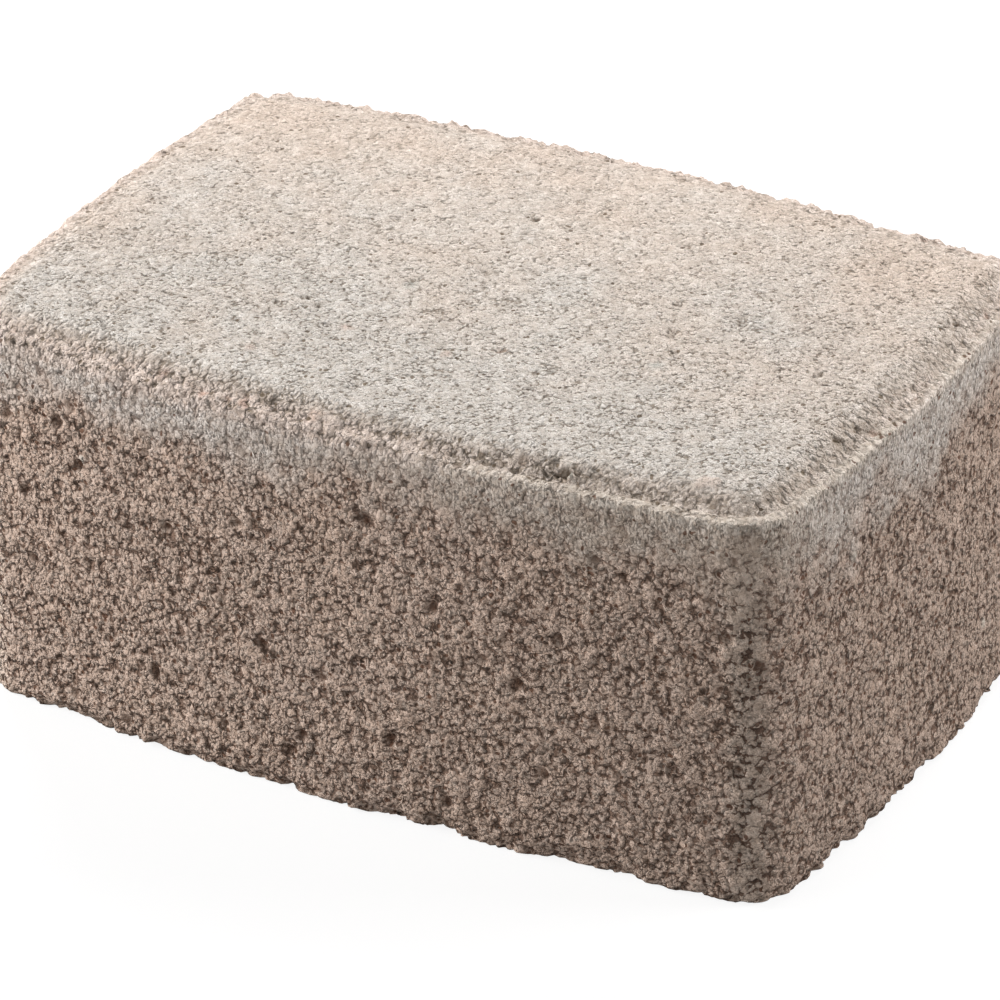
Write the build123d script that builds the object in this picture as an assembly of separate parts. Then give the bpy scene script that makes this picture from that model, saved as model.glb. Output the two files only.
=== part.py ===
"""One pressed concrete paver with bowed sides, lying on its bed with the wear face up.

Millimetres. The origin is the middle of the bed, +X runs along the length and +Z points up.
"""
import os

from build123d import *

# Overall sizes of the block
LENGTH = 173.0
WIDTH = 115.0
THICKNESS = 80.0

# Plan of the mould: how far the middle of a wall stands out past its corners
SIDE_BOW = 5.4
END_BOW = 3.6
CORNER_RADIUS = 10.5

# Edge that the tamper shoe rolls off round the wear face
EDGE_WIDTH = 7.0
EDGE_DROP = 3.4
EDGE_CROWN = 0.9

# Thin lip of mix squeezed up between the shoe and the mould wall
LIP_WIDTH = 1.1
LIP_RISE = 0.8
LIP_FOOT = 0.7

# Worn arris where the walls meet the bed
BED_ARRIS = 1.2

# How far a cutting shape runs past the block, so that it never ends on a face
CUT_SPARE = 2.0


def wall_radius(half_chord, bow):
    """Radius of the arc that stands out by bow at the middle of its chord."""
    return (half_chord**2 + bow**2) / (2 * bow)


def mould_plan():
    """Plan of the block: four walls, each bowed to one arc, with their corners rounded.

    A quarter is drawn from mid wall to mid wall and mirrored, so each wall's furthest point is
    a corner of the outline and the overall sizes are met exactly.
    """
    corner_x = LENGTH / 2 - END_BOW
    corner_y = WIDTH / 2 - SIDE_BOW
    front_middle = (0, -WIDTH / 2)
    front_corner = (corner_x, -corner_y)
    end_middle = (LENGTH / 2, 0)
    with BuildSketch() as plan:
        with BuildLine():
            RadiusArc(front_middle, front_corner, -wall_radius(corner_x, SIDE_BOW))
            RadiusArc(front_corner, end_middle, -wall_radius(corner_y, END_BOW))
            mirror(about=Plane.YZ)
            mirror(about=Plane.XZ)
        make_face()
        corners = plan.vertices().filter_by(lambda point: abs(point.X) > 1 and abs(point.Y) > 1)
        fillet(corners, CORNER_RADIUS)
    return plan.sketch.face()


def edge_section():
    """Section of the space that the shoe and the mould wall keep free of mix.

    It is drawn on the front wall at mid length. Its local x runs from the wall in towards the
    middle of the block, and its local y runs up.
    """
    foot_height = THICKNESS - EDGE_DROP
    lip_height = foot_height + LIP_RISE
    over_height = THICKNESS + CUT_SPARE
    foot = Vector(LIP_WIDTH + LIP_FOOT, foot_height)
    shoulder = Vector(EDGE_WIDTH, THICKNESS)
    slope = shoulder - foot
    crown = (foot + shoulder) / 2 + Vector(-slope.Y, slope.X).normalized() * EDGE_CROWN
    wall_plane = Plane(origin=(0, -WIDTH / 2, 0), x_dir=(0, 1, 0), z_dir=(1, 0, 0))
    with BuildSketch(wall_plane) as section:
        with BuildLine():
            Polyline((-CUT_SPARE, over_height), (-CUT_SPARE, lip_height), (LIP_WIDTH, lip_height), foot)
            ThreePointArc(foot, crown, shoulder)
            Polyline(shoulder, (EDGE_WIDTH, over_height), (-CUT_SPARE, over_height))
        make_face()
    return section.sketch.face()


def make_paver():
    """Whole block: the plan at full thickness, less the rolled edge, with its bed arris worn."""
    plan = mould_plan()
    block = extrude(plan, THICKNESS)
    block -= sweep(edge_section(), path=plan.outer_wire())
    bed = block.faces().sort_by(Axis.Z)[0]
    return fillet(bed.outer_wire().edges(), BED_ARRIS)


paver = make_paver()
os.makedirs("parts", exist_ok=True)
export_step(paver, "parts/paver.step")
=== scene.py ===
"""Looks of one pressed concrete paver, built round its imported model.

The block's whole skin is one closed surface, worked out in millimetres and written in metres.
"""
import math

import bpy
import numpy as np
from mathutils import Matrix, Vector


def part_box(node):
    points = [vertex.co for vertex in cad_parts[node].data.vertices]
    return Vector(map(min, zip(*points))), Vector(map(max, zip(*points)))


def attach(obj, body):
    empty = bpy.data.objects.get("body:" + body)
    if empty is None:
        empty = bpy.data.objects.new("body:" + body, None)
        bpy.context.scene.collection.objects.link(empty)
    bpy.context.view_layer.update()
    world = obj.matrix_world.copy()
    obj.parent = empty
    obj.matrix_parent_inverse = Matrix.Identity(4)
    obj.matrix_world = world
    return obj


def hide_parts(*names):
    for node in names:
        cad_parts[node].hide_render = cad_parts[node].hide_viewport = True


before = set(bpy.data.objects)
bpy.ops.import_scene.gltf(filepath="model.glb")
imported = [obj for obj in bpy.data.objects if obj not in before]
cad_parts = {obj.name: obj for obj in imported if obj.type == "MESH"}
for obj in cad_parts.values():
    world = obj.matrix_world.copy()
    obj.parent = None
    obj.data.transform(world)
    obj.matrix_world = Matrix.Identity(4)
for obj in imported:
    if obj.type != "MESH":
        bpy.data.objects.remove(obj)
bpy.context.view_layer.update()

MM = 0.001

# Plan and section of the block, as in its mould. The rolled edge is broader and flatter than the
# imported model's, as its shading in the photograph shows.
SIDE_BOW = 5.4
END_BOW = 3.6
CORNER_RADIUS = 10.5
EDGE_WIDTH = 8.2
EDGE_DROP = 3.4
EDGE_CROWN = 0.4
LIP_WIDTH = 1.1
LIP_RISE = 0.8
LIP_FOOT = 0.7
BED_ARRIS = 1.2

# How finely the skin is worked out before it is thinned, and what is left of it
SKIN_STEP = 0.5
SKIN_TRIANGLES = 198_000

# How far in from the walls the section ends, on the wear face and on the bed
PATCH_INSET = 9.6

# The section is sampled at this step, and rounded over this many samples
SECTION_STEP = 0.05
CRISP_ROUNDING = 9
WORN_ROUNDING = 51

# Sizes of the lumps and grains in the relief, and of the finer ones in the finish
LUMP_SIZE = 3.3
GRAIN_SIZE = 1.8
PIT_SPACING = 5.2
SAND_SIZE = 1.2
FINE_SAND_SIZE = 0.6
GRIT_SIZE = 0.26

# The floor, in metres, and the lamps: each one's place in metres and its power in watts
FLOOR_SIDES = 96
FLOOR_RINGS = 12
FLOOR_REACH = (0.05, 12.0)
LAMP_AIM = (0.0, 0.0, 0.04)
LAMP_SIDE = 0.4
LAMPS = {
    "lamp_back_left": ((-0.45, 0.5, 0.75), 3.5),
    "lamp_back": ((0.1, 0.7, 0.75), 4.5),
    "lamp_left": ((-0.9, -0.3, 0.35), 7.9),
    "lamp_front_left": ((-0.62, -0.75, 0.34), 2.6),
    "lamp_front_right": ((0.55, -0.95, 0.45), 2.0),
    "lamp_right": ((0.8, 0.45, 0.4), 5.15),
}
WORLD_LIGHT = 0.02

# Single grains, pits and chips: place, radius and rise in mm, then how pale, or below 0 how dark the
# painted shade in a pit, chip, slit or bite is, and how ruddy (grey-green below 0) each one is
MARKS = np.array([
    # Broken out of the rolled edge at the front, with one pebble left standing in it
    (40.6, -53.1, 77.6, 1.1, -0.8, -0.8, 0.0),
    (42.5, -52.5, 77.9, 1.2, -1.1, -1.0, 0.0),
    (44.0, -51.9, 78.3, 1.3, -1.2, -0.8, 0.0),
    (45.5, -51.3, 78.5, 1.0, -0.7, -0.7, 0.0),
    (45.5, -52.2, 78.0, 0.9, 1.0, 1.4, 0.2),
    (44.1, -50.4, 79.0, 1.2, 0.4, 0.0, -0.3),
    (35.5, -52.0, 78.5, 1.6, -0.3, -0.5, 0.2),
    (31.2, -52.2, 78.5, 1.2, -0.4, -0.3, 0.0),
    # Smooth grains
    (69.1, -45.9, 80.0, 2.2, 0.3, 0.3, 0.5),
    (67.1, -46.8, 79.7, 1.5, 0.2, 0.3, 0.4),
    (-54.1, -55.2, 57.2, 1.3, 0.3, 0.8, -0.6),
    (-18.6, -57.2, 56.2, 2.0, 0.3, 0.1, 0.0),
    (85.7, -25.3, 59.0, 1.3, 0.3, 0.7, 0.0),
    (85.6, 26.0, 18.2, 1.3, 0.3, 0.8, 0.2),
    (42.4, -1.8, 80.0, 1.0, 0.1, 0.8, 0.0),
    (40.6, -4.5, 80.0, 0.9, 0.1, 0.7, 0.0),
    (10.9, 33.3, 80.0, 0.7, 0.1, 0.9, 0.0),
    (-15.2, -26.7, 80.0, 1.6, 0.1, 0.1, 0.5),
    (-26.3, -40.8, 80.0, 1.4, 0.1, 0.1, 0.5),
    (5.8, -27.3, 80.0, 1.6, 0.1, 0.1, 0.4),
    (-5.1, -53.7, 78.1, 2.4, 0.3, 0.0, 0.3),
    (-83.5, 45.9, 77.2, 1.8, 1.4, -0.2, 0.9),
    # Pits in the walls
    (77.0, -52.6, 69.5, 1.1, -0.7, -0.7, 0.0),
    (74.2, -53.2, 43.5, 1.1, -0.7, -0.8, 0.0),
    (71.1, -53.5, 16.8, 1.2, -0.7, -0.7, 0.0),
    (51.4, -55.4, 64.8, 1.3, -0.7, -0.7, 0.0),
    (57.0, -55.0, 62.0, 1.2, -0.7, -0.7, 0.0),
    (-59.5, -54.7, 63.0, 1.7, -0.8, -0.7, 0.0),
    (-68.6, -53.8, 46.5, 1.4, -0.8, -0.8, 0.0),
    (-71.1, -53.5, 21.5, 1.2, -0.7, -0.7, 0.0),
    (84.8, -35.6, 65.5, 1.0, -0.7, -0.8, 0.0),
    (86.1, -17.0, 56.5, 1.1, -0.7, -0.8, 0.0),
    (85.4, -29.4, 44.8, 1.0, -0.7, -0.8, 0.0),
    (84.3, -40.4, 22.2, 1.0, -0.9, -1.0, 0.0),
    (86.4, 6.9, 66.0, 1.0, -0.6, -0.8, 0.0),
    # Slits and pits in the wear face and its edge
    (-28.0, -20.8, 80.0, 0.9, -0.7, -1.1, 0.0),
    (-26.4, -19.9, 80.0, 0.9, -0.7, -1.1, 0.0),
    (-23.6, -21.8, 80.0, 1.0, -0.6, -1.0, 0.0),
    (-33.2, -24.9, 80.0, 0.8, -0.5, -0.9, 0.0),
    (-31.6, -24.1, 80.0, 0.8, -0.5, -0.9, 0.0),
    (-50.6, -30.0, 80.0, 0.9, -0.5, -0.9, 0.0),
    (-30.8, -13.8, 80.0, 0.8, -0.6, -1.0, 0.0),
    (-5.3, 24.9, 80.0, 1.1, -0.6, -0.9, 0.0),
    (4.0, 12.3, 80.0, 0.9, -0.6, -1.0, 0.0),
    (24.4, 27.9, 80.0, 1.0, -0.6, -0.9, 0.2),
    (67.9, -4.5, 80.0, 1.0, -0.6, -1.1, 0.0),
    (80.6, -21.8, 78.9, 1.0, -0.6, -1.1, 0.0),
    (13.9, -21.9, 80.0, 1.1, -0.5, -0.7, 0.6),
    (80.2, 25.0, 79.0, 1.1, -0.8, -1.1, 0.0),
    (79.1, 22.9, 79.5, 1.0, -0.7, -1.0, 0.0),
    # Ruddy and grey-green spots
    (82.2, 32.6, 77.4, 1.0, -0.3, -0.5, 0.9),
    (84.3, 0.7, 76.9, 1.2, -0.2, -0.3, 0.7),
    (83.8, -14.1, 77.2, 1.2, -0.2, -0.3, 0.7),
    (-27.2, -54.6, 77.0, 1.3, 0.1, 0.0, 0.8),
    (-22.8, -54.5, 77.2, 1.0, 0.1, 0.0, 0.7),
    (-19.0, -54.4, 77.4, 1.4, 0.1, -0.1, 0.7),
    (-37.0, -52.7, 78.0, 1.4, 0.0, 0.0, 0.6),
    (40.9, -14.4, 80.0, 1.8, 0.0, -0.1, -0.7),
    (-13.1, -7.5, 80.0, 1.8, 0.0, -0.1, -0.6),
    # Bites out of the foot of the walls
    (10.0, -57.4, 0.0, 3.6, -1.6, 0.0, 0.0),
    (19.0, -57.2, 0.0, 4.6, -2.0, 0.0, 0.0),
    (85.4, 28.5, 0.0, 3.2, -1.6, 0.0, 0.0),
])

low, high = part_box("paver")
LENGTH = (high.x - low.x) / MM
WIDTH = (high.y - low.y) / MM
THICKNESS = (high.z - low.z) / MM


# Random patterns

def random_of(cells, seed):
    """One number from 0 to 1 for each whole-number cell, the same on every run.

    The three coordinates are mixed into one 32-bit word by odd factors, shifts and exclusive ors,
    and the word is divided by its range.
    """
    x, y, z = (cells[:, axis].astype(np.int32).view(np.uint32) for axis in range(3))
    word = x * np.uint32(0x8DA6B343) + y * np.uint32(0xD8163841) + z * np.uint32(0xCB1AB31F)
    word = word + np.uint32((seed * 0x9E3779B9) & 0xFFFFFFFF)
    for shift, factor in ((16, 0x7FEB352D), (15, 0x846CA68B), (16, 1)):
        word = (word ^ (word >> np.uint32(shift))) * np.uint32(factor)
    return word.astype(np.float32) / np.float32(2**32)


def cloud(points, size, seed):
    """Smooth noise from about -1 to 1 with lumps of the given size.

    Each corner of the cell round a point has a random slope. The slopes' heights at the point are
    blended with weights 6t^5 - 15t^4 + 10t^3 of the point's place in the cell.
    """
    place = (points / size).astype(np.float32)
    cell = np.floor(place)
    inside = place - cell
    weight = inside**3 * (inside * (inside * 6 - 15) + 10)
    total = np.zeros(len(points), np.float32)
    for corner in np.ndindex(2, 2, 2):
        here = cell + np.array(corner, np.float32)
        share = np.prod(np.where(np.array(corner), weight, 1 - weight), axis=1)
        offset = inside - np.array(corner, np.float32)
        height = sum((random_of(here, seed + axis) * 2 - 1) * offset[:, axis] for axis in range(3))
        total += share * height
    return total * 1.6


def grains(points, size, seed):
    """Distance to the nearest of random grain centres, to the next nearest, and a number per grain.

    Space is cut into cells of the given size with one centre in each, and the 27 cells round a
    point are searched. Distances are shares of the size.
    """
    place = (points / size).astype(np.float32)
    cell = np.floor(place)
    nearest = np.full(len(points), 9, np.float32)
    second = np.full(len(points), 9, np.float32)
    lot = np.zeros(len(points), np.float32)
    for step in np.ndindex(3, 3, 3):
        here = cell + np.array(step, np.float32) - 1
        centre = [here[:, axis] + random_of(here, seed + axis) for axis in range(3)]
        away = sum((centre[axis] - place[:, axis]) ** 2 for axis in range(3))
        closer = away < nearest
        second = np.where(closer, nearest, np.minimum(second, away))
        lot = np.where(closer, random_of(here, seed + 7), lot)
        nearest = np.where(closer, away, nearest)
    return np.sqrt(nearest), np.sqrt(second), lot


def ease(value, start, end):
    """0 before start and 1 after end, along 3t^2 - 2t^3 between them."""
    share = np.clip((value - start) / (end - start), 0, 1)
    return share * share * (3 - 2 * share)


# Shape of the block

def quarter_outline(long_steps, short_steps):
    """Plan of a quarter wall, from mid front to mid right end, with its outward directions.

    Three arcs that meet smoothly: the bowed front, the rounded corner and the bowed end. The
    middle of the corner falls on the last of the long steps.
    """
    corner_x = LENGTH / 2 - END_BOW
    corner_y = WIDTH / 2 - SIDE_BOW
    side_radius = (corner_x**2 + SIDE_BOW**2) / (2 * SIDE_BOW)
    end_radius = (corner_y**2 + END_BOW**2) / (2 * END_BOW)
    side_centre = np.array([0, side_radius - WIDTH / 2])
    end_centre = np.array([LENGTH / 2 - end_radius, 0])
    # The corner's centre lies inside both walls by its own radius: two circles cross there
    across = end_centre - side_centre
    span = np.hypot(*across)
    reach = side_radius - CORNER_RADIUS
    along = (reach**2 - (end_radius - CORNER_RADIUS) ** 2 + span**2) / (2 * span)
    aside = math.sqrt(reach**2 - along**2)
    ways = across / span
    square_way = np.array([-ways[1], ways[0]])
    crossings = [side_centre + ways * along + square_way * aside * sign for sign in (1, -1)]
    corner_centre = max(crossings, key=lambda centre: centre[0] - centre[1])
    turn_in = math.atan2(*(corner_centre - side_centre)[::-1])
    turn_out = math.atan2(*(corner_centre - end_centre)[::-1])
    turn_middle = (turn_in + turn_out) / 2
    arcs = [
        (side_centre, side_radius, -math.pi / 2, turn_in),
        (corner_centre, CORNER_RADIUS, turn_in, turn_middle),
        (corner_centre, CORNER_RADIUS, turn_middle, turn_out),
        (end_centre, end_radius, turn_out, 0.0),
    ]
    points, outward = [], []
    for pair, steps in ((arcs[:2], long_steps), (arcs[2:], short_steps)):
        lengths = [radius * (last - first) for _, radius, first, last in pair]
        travel = np.linspace(0, sum(lengths), steps + 1)
        on_second = travel > lengths[0]
        (centre_a, radius_a, first_a, _), (centre_b, radius_b, first_b, _) = pair
        turn_b = first_b + (travel - lengths[0]) / radius_b
        turn = np.where(on_second, turn_b, first_a + travel / radius_a)
        way = np.stack([np.cos(turn), np.sin(turn)], axis=1)
        second = on_second[:, None]
        points.append(np.where(second, centre_b, centre_a) + way * np.where(second, radius_b, radius_a))
        outward.append(way)
    joined = [np.vstack([first, last[1:]]) for first, last in (points, outward)]
    return joined[0], joined[1]


def outline(long_steps, short_steps):
    """Whole plan, once round from mid front and past the right end: the quarter and its mirrors."""
    loops = []
    for quarter in quarter_outline(long_steps, short_steps):
        back = quarter[::-1] * [1, -1]
        right = np.vstack([quarter, back[1:]])
        loops.append(np.vstack([right, (right[::-1] * [-1, 1])[1:-1]]))
    return loops


def section_rows():
    """Section from the bed to the wear face, once with a crisp lip and once with it rubbed off.

    Straight runs and arcs at the mould's sizes are sampled evenly, and each sample is averaged
    with its neighbours, over a short length for the crisp section and a long one for the worn,
    whose lip corners lie back on the round of the shoulder. Rows lie closer together round the
    lip and the bed arris. Gives for each section the inset and height of its rows and their
    outward direction (in, up), and each row's way from the lip, negative down the wall.
    """
    foot_height = THICKNESS - EDGE_DROP
    turns = np.linspace(-math.pi / 2, -math.pi, 9)
    arris = np.stack([1 + np.cos(turns), 1 + np.sin(turns)], axis=1) * BED_ARRIS
    foot = np.array([LIP_WIDTH + LIP_FOOT, foot_height])
    shoulder = np.array([EDGE_WIDTH, THICKNESS])
    chord = shoulder - foot
    bulge = np.array([-chord[1], chord[0]]) / np.hypot(*chord) * EDGE_CROWN
    share = np.linspace(0, 1, 14)[:, None]
    edge = foot + chord * share + bulge * 4 * share * (1 - share)
    lip = np.array([[0.0, foot_height + LIP_RISE], [LIP_WIDTH, foot_height + LIP_RISE]])
    corners = np.vstack([[[PATCH_INSET, 0.0]], arris, lip, edge, [[PATCH_INSET, THICKNESS]]])
    by_lip = slice(len(arris) + 1, len(arris) + 5)
    broad = corners.copy()
    broad[by_lip] += [[0.05, -0.55], [0.5, -0.1], [0.45, 0.5], [0.45, 0.35]]
    rubbed = corners.copy()
    rubbed[by_lip] += [[0.2, -1.9], [-0.1, -0.75], [-0.25, 0.55], [-0.1, 0.35]]

    run = np.concatenate([[0], np.cumsum(np.hypot(*np.diff(corners, axis=0).T))])
    travel = np.arange(0, run[-1], SECTION_STEP)
    lip_at = run[len(arris) + 1] + LIP_WIDTH / 2
    arris_at = run[5]
    crowding = 1 + 0.9 * np.exp(-(((travel - lip_at) / 2.5) ** 2))
    crowding += 0.5 * np.exp(-(((travel - arris_at) / 2.0) ** 2))
    count = np.cumsum(crowding)
    rows = int(count[-1] * SECTION_STEP / SKIN_STEP)
    at = np.interp(np.linspace(count[0], count[-1], rows + 1), count, np.arange(len(count)))

    sections = []
    samples = np.arange(len(travel))
    for shape, width in ((broad, CRISP_ROUNDING), (rubbed, WORN_ROUNDING)):
        line = np.stack([np.interp(travel, run, shape[:, axis]) for axis in range(2)], axis=1)
        shares = np.hanning(width + 2)[1:-1]
        shares = shares / shares.sum()
        padded = np.pad(line, ((width // 2, width // 2), (0, 0)), mode="reflect", reflect_type="odd")
        soft = np.stack([np.convolve(padded[:, axis], shares, "valid") for axis in range(2)], axis=1)
        way = np.gradient(soft, axis=0)
        way /= np.linalg.norm(way, axis=1, keepdims=True)
        both = np.column_stack([soft, -way[:, 1], way[:, 0]])
        sections.append(np.stack([np.interp(at, samples, both[:, axis]) for axis in range(4)], axis=1))
    return sections, np.interp(at, samples, travel) - lip_at


def patch(ring, long_steps, short_steps):
    """Flat lattice inside a closed ring of points: the four sides of the ring blended.

    A point is the mix of its two ends, front to back, plus the mix of its two sides, left to
    right, less the mix of the four corners.
    """
    count = len(ring)
    i = np.arange(2 * long_steps + 1)
    j = np.arange(2 * short_steps + 1)
    front = (count - long_steps + i) % count
    right = long_steps + j
    back = 3 * long_steps + 2 * short_steps - i
    left = (3 * long_steps + 4 * short_steps - j) % count
    u = (i / i[-1])[:, None, None]
    v = (j / j[-1])[None, :, None]
    ends = (1 - v) * ring[front][:, None] + v * ring[back][:, None]
    sides = (1 - u) * ring[left][None] + u * ring[right][None]
    corners = (
        (1 - u) * (1 - v) * ring[front[0]] + u * (1 - v) * ring[front[-1]]
        + (1 - u) * v * ring[back[0]] + u * v * ring[back[-1]]
    )
    lattice = ends + sides - corners
    known = np.full((len(i), len(j)), -1)
    known[:, 0], known[:, -1], known[0, :], known[-1, :] = front, back, left, right
    return lattice, known


def lip_crispness(plan, plan_out):
    """How crisp the lip still is round the plan, from 0 to 1.

    It is whole at the front right corner and down the right end, fades to the left along the
    front, and is rubbed off at the back and the left end.
    """
    front = ease(-plan_out[:, 1], 0.3, 0.9) * ease(plan[:, 0], -5, 45)
    right = ease(plan_out[:, 0], 0.3, 0.9) * (0.7 + 0.25 * ease(-plan[:, 1], -20, 40))
    spot = np.column_stack([plan, np.zeros(len(plan))])
    whole = np.maximum(front, right)
    return np.clip(whole * (1 + 0.6 * cloud(spot, 5.0, 5)), 0, 1)


def skin():
    """Smooth skin of the block: points, outward directions, level directions away from the walls'
    middle, distance from the lip, crispness and quads.

    The section is carried round the plan, and the wear face and the bed are each filled in with a
    lattice that shares the last ring of points.
    """
    long_steps = round(LENGTH / 2 / SKIN_STEP * 0.94)
    short_steps = round(WIDTH / 2 / SKIN_STEP * 0.94)
    plan, plan_out = outline(long_steps, short_steps)
    (crisp, worn), from_lip = section_rows()
    keep = lip_crispness(plan, plan_out)[None, :, None]
    section = keep * crisp[:, None] + (1 - keep) * worn[:, None]
    rows, around = section.shape[:2]
    flat = plan[None] - plan_out[None] * section[..., :1]
    level = -plan_out[None] * section[..., 2:3]
    points = [np.concatenate([flat, section[..., 1:2]], axis=2).reshape(-1, 3)]
    side = [(plan_out[None] * np.clip(1 - section[..., :1] / PATCH_INSET, 0, 1)).reshape(-1, 2)]
    normals = [np.concatenate([level, section[..., 3:4]], axis=2).reshape(-1, 3)]
    distance = [np.repeat(from_lip, around)]
    crispness = [np.tile(keep.ravel(), rows)]

    turn = np.arange(around)
    after = (turn + 1) % around
    row = np.arange(rows - 1)[:, None] * around
    above = row + around
    quads = [np.stack([row + turn, row + after, above + after, above + turn], axis=2).reshape(-1, 4)]

    total = rows * around
    for ring_row, up in ((rows - 1, 1), (0, -1)):
        lattice, known = patch(flat[ring_row], long_steps, short_steps)
        ids = np.where(known >= 0, known + ring_row * around, -1)
        fresh = ids < 0
        ids[fresh] = total + np.arange(fresh.sum())
        total += fresh.sum()
        inner = lattice[fresh]
        points.append(np.column_stack([inner, np.full(len(inner), section[ring_row, 0, 1])]))
        normals.append(np.tile([0, 0, float(up)], (len(inner), 1)))
        distance.append(np.full(len(inner), from_lip[ring_row] + up * 20.0))
        crispness.append(np.zeros(len(inner)))
        side.append(np.zeros((len(inner), 2)))
        square = np.stack([ids[:-1, :-1], ids[1:, :-1], ids[1:, 1:], ids[:-1, 1:]], axis=2).reshape(-1, 4)
        quads.append(square[:, ::up])
    normals = np.vstack(normals)
    normals /= np.linalg.norm(normals, axis=1, keepdims=True)
    return (
        np.vstack(points), normals, np.vstack(side),
        np.concatenate(distance), np.concatenate(crispness), np.vstack(quads),
    )


# Relief of the concrete

def relief(points, from_lip, crispness):
    """How far each point of the skin stands out, in mm, how much painted shade its low spots get, and how
    smooth it is.

    The mix was pressed against the mould: its lumps end in small flats at the mould's face, with
    sand and open gaps between them. The height is the sum of flattened lumps, rounded grains,
    random pits and slow waves, each with its own strength on the walls, the edge and the wear
    face. A rubbed edge is crumbly, and it is fuller at the back and the left end, by a bell curve
    across it.
    """
    on_top = ease(from_lip, -0.4, 1.6)
    on_face = ease(from_lip, 4.2, 8.2)
    near_lip = np.exp(-((from_lip / 1.5) ** 2)) * crispness
    band = under_lip(points, from_lip)

    warp = np.stack([cloud(points, 2.4, 20 + 3 * axis) for axis in range(3)], axis=1)
    bent = points + 0.7 * warp
    lump_near, _, lump_lot = grains(bent, LUMP_SIZE, 40)
    grain_near, _, grain_lot = grains(bent, GRAIN_SIZE, 50)
    lump = (1 - ease(lump_near, 0.28, 0.62)) * (lump_lot > 0.25)
    grain = (1 - ease(grain_near, 0.15, 0.75)) * (0.5 + 0.5 * grain_lot)
    rough = cloud(points, 5.0, 60)

    wall = 0.16 * lump + 0.30 * grain - 0.24 + 0.05 * rough
    edge = 0.14 * lump + 0.26 * grain - 0.21 + 0.05 * rough
    face = 0.06 * lump + 0.12 * grain - 0.10
    rise = wall * (1 - 0.72 * band) * (1 - on_top) + (face * on_face + edge * (1 - on_face)) * on_top

    pit_near, _, pit_lot = grains(bent, PIT_SPACING, 70)
    pit_size = 0.09 + 0.15 * pit_lot
    pit = (1 - ease(pit_near, pit_size * 0.5, pit_size * 1.4)) * (pit_lot > 0.82)
    rise -= pit * (0.9 * (1 - on_top) * (1 - 0.6 * band) + 0.5 * on_top)

    # Painted shade: where the skin lies deep, the finish is darkened as if shade fell there
    painted_hollow_shade = np.clip(-(rise + 0.45) / 0.6, 0, 1)

    ragged = 0.32 * cloud(points, 3.0, 76) + 0.36 * cloud(points, 1.2, 79)
    rise += (ragged - 0.8 * rise) * near_lip
    back = ease(points[:, 1], 35, 50)
    far = np.maximum(back, ease(-points[:, 0], 70, 80))
    rise += 1.2 * far * np.exp(-(((from_lip - 3.2) / 2.8) ** 2)) * (1 - crispness)
    crumbs = 0.35 * cloud(points, 4.6, 92) + 0.40 * cloud(points, 2.2, 86) + 0.40 * cloud(points, 1.2, 89)
    crumbs *= 1 + 0.7 * back
    crumbs_at = 0.5 + 2.6 * far
    rise += crumbs * np.exp(-(((from_lip - crumbs_at) / 2.6) ** 2)) * (1 - crispness)
    rise += 0.20 * cloud(points, 30.0, 80) * (1 - on_top) + 0.08 * cloud(points, 26.0, 83) * on_top
    return rise, painted_hollow_shade, lump * (0.4 + 0.6 * lump_lot)


def marks(points):
    """Rise, paleness (below 0, painted shade in pits, chips and bites) and ruddiness that the single
    marks add: each falls off from its centre over its radius, with a border bent by noise.
    """
    added = np.zeros((len(points), 3), np.float32)
    warp = np.stack([cloud(points, 1.5, 120 + axis) for axis in range(3)], axis=1)
    bent = (points + warp).astype(np.float32)
    for mark in MARKS.astype(np.float32):
        away = np.sqrt(((bent - mark[:3]) ** 2).sum(axis=1)) / mark[3]
        added += (1 - ease(away, 0.4, 1.0))[:, None] * mark[4:]
    return added.T


def under_lip(points, from_lip):
    """Share of the smeared band under the lip, 1 by the lip and 0 below its ragged lower border.

    The border is bent by noise. It lies lower on the near half of the right end and higher
    towards the left.
    """
    border = from_lip + 7.0 * cloud(points, 13.0, 11) + 5.0 * cloud(points, 4.0, 15)
    lower = 3.5 * ease(points[:, 0], 79, 84) * ease(-points[:, 1], -30, 20)
    border += lower - 5.0 * ease(-points[:, 0], -30, 40)
    return ease(border, -18.0, -5.0)


def bed_bites(points):
    """How far the foot of the wall is broken back, in mm: noise of three sizes, its peaks only,
    which dies out a few millimetres up the wall.
    """
    height = points[:, 2]
    level = points * [1, 1, 0.5]
    bite = 2.0 * np.clip(cloud(level, 12.0, 110) - 0.05, 0, 0.6) * (1 - ease(height, 1.0, 6.0))
    bite += 1.8 * np.clip(cloud(level, 4.0, 113) + 0.05, 0, 0.6) * (1 - ease(height, 0.8, 3.5))
    return bite + 1.9 * np.clip(cloud(level, 1.6, 116) + 0.1, 0, 0.6) * (1 - ease(height, 0.8, 2.6))


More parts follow.
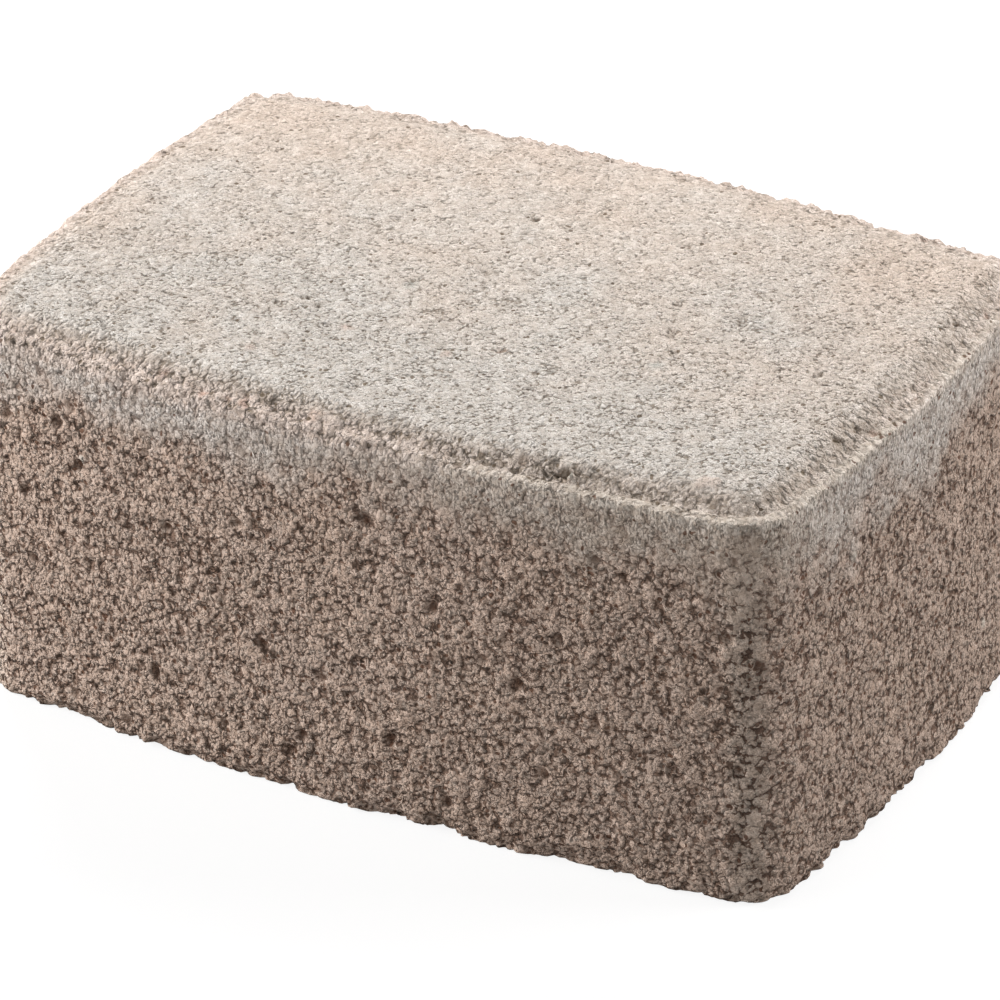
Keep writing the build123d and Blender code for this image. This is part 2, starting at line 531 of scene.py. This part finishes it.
def skin_looks(points, from_lip):
    """What the finish reads of each point's place: shares from 0 to 1, or a little over.

    Each is a slope along the block's length or width, or a step across its edge, plus noise.
    """
    x, y = points[:, 0] / 86, points[:, 1] / 57
    coarse_edge = 1 - 0.5 * ease(points[:, 1], -55, -46)
    coarse_face = 1 - (0.35 - 0.2 * ease(points[:, 0], 10, 60)) * ease(points[:, 1], -45, 50)
    inner = ease(from_lip, 5.5, 9.5)
    coarse_top = coarse_edge * (1 - inner) + coarse_face * inner
    at_corner = ease(np.abs(points[:, 0]), 73.5, 77.5) * ease(np.abs(points[:, 1]), 48.5, 51.5)
    at_front = ease(-points[:, 1], 44, 52)
    at_right = ease(points[:, 0], 72, 80) * ease(-points[:, 1], -50, -30)
    open_gaps = 0.5 - 0.35 * y + 0.15 * x + 0.5 * cloud(points, 14.0, 106)
    pinkness = 0.28 + 0.5 * y + 0.25 * x * x
    pinkness += 0.4 * cloud(points, 26.0, 90) + 0.3 * cloud(points, 9.0, 93)
    patchy = 0.5 + 0.4 * cloud(points, 16.0, 96) + 0.4 * cloud(points, 5.0, 99)
    # The band is paler towards the left and at the right end
    band_paleness = ease(-x, -0.7, 0.5) + ease(x, 0.965, 0.995) + 0.3 * cloud(points, 11.0, 109)
    return {
        "band": under_lip(points, from_lip),
        "open": np.clip(open_gaps, 0, 1),
        "pinkness": np.clip(pinkness, 0, 1),
        "patchy": np.clip(patchy, 0, 1),
        "clump": 0.5 + 0.5 * cloud(points, 3.2, 102),
        "band_paleness": np.clip(band_paleness, 0, 1),
        "coarse": np.where(from_lip > -0.5, coarse_top, 1 + 0.2 * at_corner),
        "at_corner": at_corner,
        # Painted shade: the rolled edge is painted darker at the front and the right end, where less
        # light falls on it
        "painted_edge_lightness": 1 - 0.4 * at_front - 0.6 * at_right,
    }


def make_paver():
    """The block's skin with its relief, thinned to what a stored piece may hold.

    Each point moves out along its direction by the relief's rise. Where the foot is broken, it
    moves level towards the middle of the block instead, and no point goes below the bed.
    """
    points, normals, side, from_lip, crispness, quads = skin()
    rise, painted_hollow_shade, flat = relief(points, from_lip, crispness)
    marked, paleness_and_pit_shade, ruddy = marks(points)
    rise += marked
    flat = np.maximum(flat, np.clip(3 * marked, 0, 1))
    bites = bed_bites(points)
    below = normals[:, 2] < -0.5
    points[:, :2] -= side * np.where(below, bites - rise, bites)[:, None]
    points += normals * np.where(below, 0, rise)[:, None]
    points[:, 2] = np.maximum(points[:, 2], 0)

    mesh = bpy.data.meshes.new("paver_skin")
    mesh.vertices.add(len(points))
    mesh.vertices.foreach_set("co", (points * MM).astype(np.float32).ravel())
    mesh.loops.add(quads.size)
    mesh.loops.foreach_set("vertex_index", quads.astype(np.int32).ravel())
    mesh.polygons.add(len(quads))
    mesh.polygons.foreach_set("loop_start", np.arange(0, quads.size, 4, dtype=np.int32))
    mesh.update(calc_edges=True)
    looks = {
        "from_lip": from_lip,
        "crispness": crispness,
        "painted_hollow_shade": painted_hollow_shade,
        "flat": flat,
        "paleness_and_pit_shade": paleness_and_pit_shade,
        "ruddy": ruddy,
        **skin_looks(points, from_lip),
    }
    for name, values in looks.items():
        layer = mesh.attributes.new(name, "FLOAT", "POINT")
        layer.data.foreach_set("value", values.astype(np.float32))
    piece = bpy.data.objects.new("paver_skin", mesh)
    bpy.context.scene.collection.objects.link(piece)

    thin = piece.modifiers.new("thin", "DECIMATE")
    thin.ratio = min(1.0, SKIN_TRIANGLES / (2 * len(quads)))
    seen = piece.evaluated_get(bpy.context.evaluated_depsgraph_get())
    piece.data = bpy.data.meshes.new_from_object(seen)
    piece.data.name = "paver_skin"
    piece.modifiers.clear()
    piece.data.shade_smooth()
    placed = np.zeros(3 * len(piece.data.vertices), np.float32)
    piece.data.vertices.foreach_get("co", placed)
    placed[2::3] = np.maximum(placed[2::3], 0)
    piece.data.vertices.foreach_set("co", placed)
    print("skin", len(quads) * 2, "->", len(piece.data.polygons))
    return piece


# Finish of the concrete

class Recipe:
    """A node material put together step by step: each call adds a node and gives its output."""

    def __init__(self, name):
        self.material = bpy.data.materials.new(name)
        self.material.use_nodes = True
        self.tree = self.material.node_tree
        self.tree.nodes.clear()

    def add(self, kind, output=0, inputs=(), **settings):
        """Adds a node and gives the output asked for, or all of them when that is None."""
        node = self.tree.nodes.new(kind)
        for key, value in settings.items():
            setattr(node, key, value)
        for key, value in dict(inputs).items():
            if isinstance(value, bpy.types.NodeSocket):
                self.tree.links.new(value, node.inputs[key])
            else:
                node.inputs[key].default_value = value
        return node.outputs if output is None else node.outputs[output]

    def maths(self, operation, *values):
        return self.add("ShaderNodeMath", inputs=enumerate(values), operation=operation)

    def vector(self, operation, *values, scale=1.0):
        inputs = dict(enumerate(values))
        if operation == "SCALE":
            inputs["Scale"] = scale
        return self.add("ShaderNodeVectorMath", inputs=inputs, operation=operation)

    def times(self, first, second):
        return self.maths("MULTIPLY", first, second)

    def plus(self, first, second):
        return self.maths("ADD", first, second)

    def less(self, first, second):
        return self.maths("SUBTRACT", first, second)

    def ease(self, value, start, end, low=0.0, high=1.0):
        inputs = {"Value": value, "From Min": start, "From Max": end, "To Min": low, "To Max": high}
        return self.add("ShaderNodeMapRange", inputs=inputs, interpolation_type="SMOOTHSTEP")

    def blend(self, share, first, second):
        inputs = {0: share, 2: first, 3: second}
        return self.add("ShaderNodeMix", inputs=inputs)

    def mix(self, share, first, second):
        inputs = {0: share, 6: first, 7: second}
        return self.add("ShaderNodeMix", output=2, inputs=inputs, data_type="RGBA")

    def noise(self, place, size):
        """Colour noise of the given size with one finer step."""
        inputs = {"Vector": place, "Scale": 1 / size, "Detail": 1.0}
        return self.add("ShaderNodeTexNoise", output="Color", inputs=inputs)

    def cells(self, place, size):
        """Voronoi cells of the given size: the way from a cell's centre in shares of the size,
        the distance from it, and the cell's three random numbers.
        """
        cell = self.add("ShaderNodeTexVoronoi", output=None, inputs={"Vector": place, "Scale": 1 / size})
        way = self.vector("SCALE", self.vector("SUBTRACT", place, cell["Position"]), scale=1 / size)
        lot = self.add("ShaderNodeSeparateColor", output=None, inputs={0: cell["Color"]})
        return way, cell["Distance"], lot

    def most(self, first, *others):
        for other in others:
            first = self.maths("MAXIMUM", first, other)
        return first

    def attribute(self, name):
        return self.add("ShaderNodeAttribute", output="Fac", attribute_name=name)

    def finish(self, surface):
        self.add("ShaderNodeOutputMaterial", output=None, inputs={"Surface": surface})


def shade(red, green, blue):
    """A colour given as the 0 to 255 values that it shows, as the shader's linear values."""
    values = np.array([red, green, blue]) / 255
    linear = np.where(values > 0.04045, ((values + 0.055) / 1.055) ** 2.4, values / 12.92)
    return (*linear.tolist(), 1.0)


def concrete():
    """Pressed concrete: sandy wear face, coarse brown walls and a smeared grey band under the lip.

    Each grain is a cell of a Voronoi pattern, taken at two sizes: the way from its centre leans
    the surface outward like a dome, the distance from its centre paints shade into the gap round it.
    Noise of a third size is the grit on the grains.
    """
    mix = Recipe("pressed_concrete")
    object_place = mix.add("ShaderNodeTexCoord", output="Object")
    place = mix.vector("SCALE", object_place, scale=1 / MM)
    from_lip = mix.attribute("from_lip")
    band = mix.attribute("band")
    flat = mix.attribute("flat")
    patchy = mix.attribute("patchy")
    crispness = mix.attribute("crispness")
    coarse = mix.attribute("coarse")
    paleness_and_pit_shade = mix.attribute("paleness_and_pit_shade")
    ruddy = mix.attribute("ruddy")
    on_top = mix.ease(from_lip, -0.2, 0.6)
    on_face = mix.ease(from_lip, 4.4, 9.0)
    by_lip = mix.times(mix.ease(from_lip, -3.6, -0.7), mix.ease(from_lip, 1.9, 1.0))
    from_rubbed = mix.maths("ABSOLUTE", mix.less(from_lip, 1.5))
    worn_edge = mix.times(mix.ease(from_rubbed, 4.6, 1.4), mix.less(1.0, crispness))

    def zone(wall, under, edge, face):
        """A number for each part of the skin: wall, band under the lip, rolled edge, wear face."""
        return mix.blend(on_face, mix.blend(on_top, mix.blend(band, wall, under), edge), face)

    middle = (0.5, 0.5, 0.5)
    bend = mix.vector("SUBTRACT", mix.noise(place, SAND_SIZE), middle)
    bent = mix.vector("ADD", place, mix.vector("SCALE", bend, scale=1.3))
    sand_way, sand_distance, sand_lot = mix.cells(bent, SAND_SIZE)
    fine_way, fine_distance, fine_lot = mix.cells(bent, FINE_SAND_SIZE)
    # The band's grit is drawn out upwards, as the shoe smeared it
    smeared = mix.times(band, mix.less(1.0, on_top))
    drawn_out = mix.less(1.0, mix.times(smeared, 0.72))
    drawn = mix.add("ShaderNodeCombineXYZ", inputs={0: 1.0, 1: 1.0, 2: drawn_out})
    grit = mix.noise(mix.vector("MULTIPLY", place, drawn), GRIT_SIZE)
    grit_way = mix.vector("SUBTRACT", grit, middle)
    grit_lot = mix.add("ShaderNodeSeparateColor", inputs={0: grit})

    # Some grains have fallen out: there the dome is a pit, which also gets painted shade
    fallen = mix.ease(sand_lot["Red"], 0.935, 0.94)
    pit = mix.times(fallen, mix.ease(sand_distance, zone(0.55, 0.45, 0.55, 0.40), 0.28))

    # Each size of grain leans the surface, less on the flats of the lumps
    sandy = mix.times(mix.less(1.0, mix.times(flat, 0.75)), coarse)
    rim = mix.ease(sand_distance, 0.1, 0.5)
    outward = mix.ease(fallen, 0.0, 1.0, 1.0, -1.0)
    sand_lean = mix.times(mix.times(zone(3.6, 1.2, 2.8, 1.3), outward), mix.times(sandy, rim))
    on_rim = mix.ease(rim, 0.0, 1.0, zone(0.75, 0.9, 0.9, 0.9), 1.0)
    fine_lean = mix.times(zone(2.9, 1.7, 2.3, 2.2), mix.times(sandy, on_rim))
    grit_lean = mix.times(zone(4.6, 4.8, 4.5, 4.8), coarse)
    lean = mix.vector("SCALE", sand_way, scale=sand_lean)
    for way, strength in (
        (fine_way, fine_lean),
        (grit_way, grit_lean),
        (bend, zone(1.4, 1.0, 1.2, 0.8)),
    ):
        lean = mix.vector("ADD", lean, mix.vector("SCALE", way, scale=strength))
    # Only the lean's part along the surface turns the normal
    normal = mix.add("ShaderNodeTexCoord", output="Normal")
    inputs = {0: lean, 1: normal}
    along = mix.add("ShaderNodeVectorMath", output="Value", inputs=inputs, operation="DOT_PRODUCT")
    lean = mix.vector("SUBTRACT", lean, mix.vector("SCALE", normal, scale=along))
    normal = mix.vector("ADD", normal, lean)
    normal = mix.add(
        "ShaderNodeVectorTransform", inputs={0: normal},
        vector_type="NORMAL", convert_from="OBJECT", convert_to="WORLD",
    )
    normal = mix.vector("NORMALIZE", normal)

    # Painted shade in the gaps between grains, wider where the skin lies low and closed on the flats of
    # the lumps
    reach = mix.plus(
        mix.times(sand_distance, zone(1.0, 1.0, 1.0, 0.7)),
        mix.times(mix.less(fine_distance, 0.45), zone(0.40, 0.40, 0.45, 0.9)),
    )
    between_clumps = mix.less(0.5, mix.attribute("clump"))
    reach = mix.plus(reach, mix.times(between_clumps, zone(0.13, 0.2, 0.15, 0.4)))
    wide_open = mix.less(mix.attribute("open"), 0.5)
    reach = mix.plus(reach, mix.times(wide_open, zone(0.03, 0.06, 0.1, 0.07)))
    reach = mix.less(reach, mix.times(flat, 0.14))
    lip_foot = mix.times(mix.ease(from_lip, 0.2, 0.9), mix.ease(from_lip, 3.4, 1.8))
    closed = mix.most(mix.times(by_lip, 0.10), mix.times(worn_edge, 0.18), mix.times(lip_foot, 0.06))
    reach = mix.less(reach, closed)
    painted_gap_shade = mix.ease(reach, zone(0.62, 0.62, 0.57, 0.55), zone(0.70, 0.74, 0.66, 0.72))
    painted_gap_shade = mix.times(mix.times(painted_gap_shade, zone(0.76, 0.45, 0.75, 0.75)), coarse)
    painted_gap_shade = mix.most(painted_gap_shade, mix.attribute("painted_hollow_shade"), pit)
    # Pale marks close the painted gap shade; marks below 0 paint shade into pits, chips and bites
    painted_gap_shade = mix.times(painted_gap_shade, mix.ease(paleness_and_pit_shade, 0.0, 0.3, 1.0, 0.2))
    painted_gap_shade = mix.most(painted_gap_shade, mix.times(paleness_and_pit_shade, -1.0))

    # Colours of the walls, the band, the rolled edge and the wear face. The wall corners are painted
    # paler, as painted light that lifts their shade
    face = mix.mix(mix.attribute("pinkness"), shade(229, 220, 211), shade(233, 214, 199))
    # Painted shade: the rolled edge's colour darkens at the front and the right end
    edge = mix.mix(mix.attribute("painted_edge_lightness"), shade(202, 189, 177), shade(226, 209, 196))
    grey_band = mix.mix(mix.attribute("band_paleness"), shade(207, 192, 178), shade(228, 218, 209))
    wall = mix.mix(patchy, shade(225, 197, 178), shade(219, 193, 176))
    wall = mix.mix(mix.times(band, 0.85), wall, grey_band)
    # Painted light: the corners of the walls and the band are painted paler
    wall = mix.mix(mix.times(mix.attribute("at_corner"), 0.72), wall, shade(249, 225, 206))
    base = mix.mix(on_top, wall, mix.mix(on_face, edge, face))
    base = mix.mix(mix.times(by_lip, crispness), base, shade(229, 215, 201))
    base = mix.mix(mix.times(worn_edge, 0.85), base, shade(236, 216, 203))

    # Each grain is darker or paler than its ground: darker grains are redder, paler ones greyer
    sand_bright = mix.ease(sand_lot["Green"], 0.0, 1.0, 0.88, 1.12)
    fine_bright = mix.ease(fine_lot["Red"], 0.0, 1.0, 0.78, 1.20)
    grit_bright = mix.ease(grit_lot, 0.3, 0.7, 0.82, 1.17)
    bright = mix.times(mix.times(sand_bright, fine_bright), grit_bright)
    speckle = mix.times(mix.less(bright, 1.0), zone(0.65, 0.8, 0.8, 0.6))
    tint = mix.vector("MULTIPLY_ADD", speckle, (0.88, 1.0, 1.12), (1.0, 1.0, 1.0))
    base = mix.vector("MULTIPLY", base, tint)
    quartz = mix.times(mix.ease(fine_lot["Green"], 0.88, 0.92), zone(0.35, 0.2, 0.3, 0.2))
    base = mix.mix(quartz, base, shade(229, 214, 200))
    base = mix.mix(mix.times(ruddy, 0.7), base, shade(214, 168, 148))
    base = mix.mix(mix.times(ruddy, -0.7), base, shade(192, 199, 194))
    base = mix.mix(mix.times(paleness_and_pit_shade, 0.8), base, shade(232, 224, 210))
    # Painted shade: the dark brown that the gap mask mixes in stands for the shade in gaps, pits and
    # hollows
    painted_shade_colour = mix.mix(on_top, shade(108, 72, 51), shade(114, 97, 74))
    colour = mix.mix(mix.times(painted_gap_shade, zone(0.9, 0.85, 0.85, 0.85)), base, painted_shade_colour)

    surface = mix.add(
        "ShaderNodeBsdfPrincipled",
        inputs={"Base Color": colour, "Roughness": 0.93, "Specular IOR Level": 0.25, "Normal": normal},
    )
    mix.finish(surface)
    return mix.material


# Studio

def floor_material():
    """Pale floor that shows nearly white where it is lit and keeps the block's soft shadow."""
    mix = Recipe("pale_floor")
    path = mix.tree.nodes.new("ShaderNodeLightPath")
    seen = mix.most(*(path.outputs[f"Is {way} Ray"] for way in ("Camera", "Glossy", "Transmission")))
    matte = mix.add("ShaderNodeBsdfDiffuse", inputs={"Color": (0.25, 0.25, 0.25, 1.0)})
    strength = mix.times(seen, 0.85)
    glow = mix.add("ShaderNodeEmission", inputs={"Color": (1, 1, 1, 1), "Strength": strength})
    both = mix.add("ShaderNodeAddShader", inputs={0: matte, 1: glow})
    mix.finish(both)
    return mix.material


def make_floor():
    """A large level disc: rings of points whose radius grows by an even factor."""
    turns = np.linspace(0, 2 * math.pi, FLOOR_SIDES + 1)[:-1]
    radii = np.geomspace(*FLOOR_REACH, FLOOR_RINGS)
    ring = np.stack([np.cos(turns), np.sin(turns), np.zeros(FLOOR_SIDES)], axis=1)
    points = np.vstack([[[0, 0, 0]], (radii[:, None, None] * ring).reshape(-1, 3)])
    turn = np.arange(FLOOR_SIDES)
    after = (turn + 1) % FLOOR_SIDES
    row = 1 + np.arange(FLOOR_RINGS - 1)[:, None] * FLOOR_SIDES
    outer = row + FLOOR_SIDES
    quads = np.stack([row + turn, outer + turn, outer + after, row + after], axis=2).reshape(-1, 4)
    middle = np.stack([np.zeros(FLOOR_SIDES, int), 1 + turn, 1 + after], axis=1)
    mesh = bpy.data.meshes.new("floor")
    mesh.from_pydata(points.tolist(), [], middle.tolist() + quads.tolist())
    floor = bpy.data.objects.new("floor", mesh)
    bpy.context.scene.collection.objects.link(floor)
    mesh.materials.append(floor_material())
    return floor


def add_lamp(name, place, power):
    """A square soft lamp that faces the middle of the block."""
    data = bpy.data.lights.new(name, "AREA")
    data.size = LAMP_SIDE
    data.energy = power
    lamp = bpy.data.objects.new(name, data)
    back = np.array(place) - np.array(LAMP_AIM)
    tilt = math.acos(back[2] / np.linalg.norm(back))
    lamp.location = place
    lamp.rotation_euler = (tilt, 0, math.atan2(back[1], back[0]) + math.pi / 2)
    bpy.context.scene.collection.objects.link(lamp)


def add_camera():
    """The photograph's view: a long lens that looks down on the front right corner."""
    azimuth, elevation, roll = (math.radians(angle) for angle in (31.0, 29.84, -1.99))
    distance, aside, above, lens_pixels = 1181.9, -1.394, 30.13, 6348.7
    level = np.array([math.sin(azimuth), -math.cos(azimuth), 0.0])
    back = level * math.cos(elevation) + np.array([0.0, 0.0, math.sin(elevation)])
    right = np.array([math.cos(azimuth), math.sin(azimuth), 0.0])
    up = np.cross(back, right)
    right, up = (
        math.cos(roll) * right + math.sin(roll) * up,
        -math.sin(roll) * right + math.cos(roll) * up,
    )
    place = (aside * right + above * up + distance * back) * MM
    data = bpy.data.cameras.new("camera")
    data.sensor_fit = "HORIZONTAL"
    data.sensor_width = 36.0
    data.lens = lens_pixels * 36.0 / 1000
    data.clip_start, data.clip_end = 0.01, 50.0
    camera = bpy.data.objects.new("camera", data)
    bpy.context.scene.collection.objects.link(camera)
    turn = np.eye(4)
    turn[:3, 0], turn[:3, 1], turn[:3, 2], turn[:3, 3] = right, up, back, place
    camera.matrix_world = Matrix(turn.tolist())
    bpy.context.scene.camera = camera


def set_studio():
    """World light, the soft lamps and the plain view settings."""
    scene = bpy.context.scene
    scene.view_settings.view_transform = "Standard"
    world = bpy.data.worlds.new("studio")
    world.use_nodes = True
    sky = world.node_tree.nodes["Background"]
    sky.inputs["Color"].default_value = (1, 1, 1, 1)
    sky.inputs["Strength"].default_value = WORLD_LIGHT
    scene.world = world
    for name, (place, power) in LAMPS.items():
        add_lamp(name, place, power)


paver = make_paver()
paver.data.materials.append(concrete())
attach(paver, "root")
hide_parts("paver")
floor = make_floor()
set_studio()
add_camera()
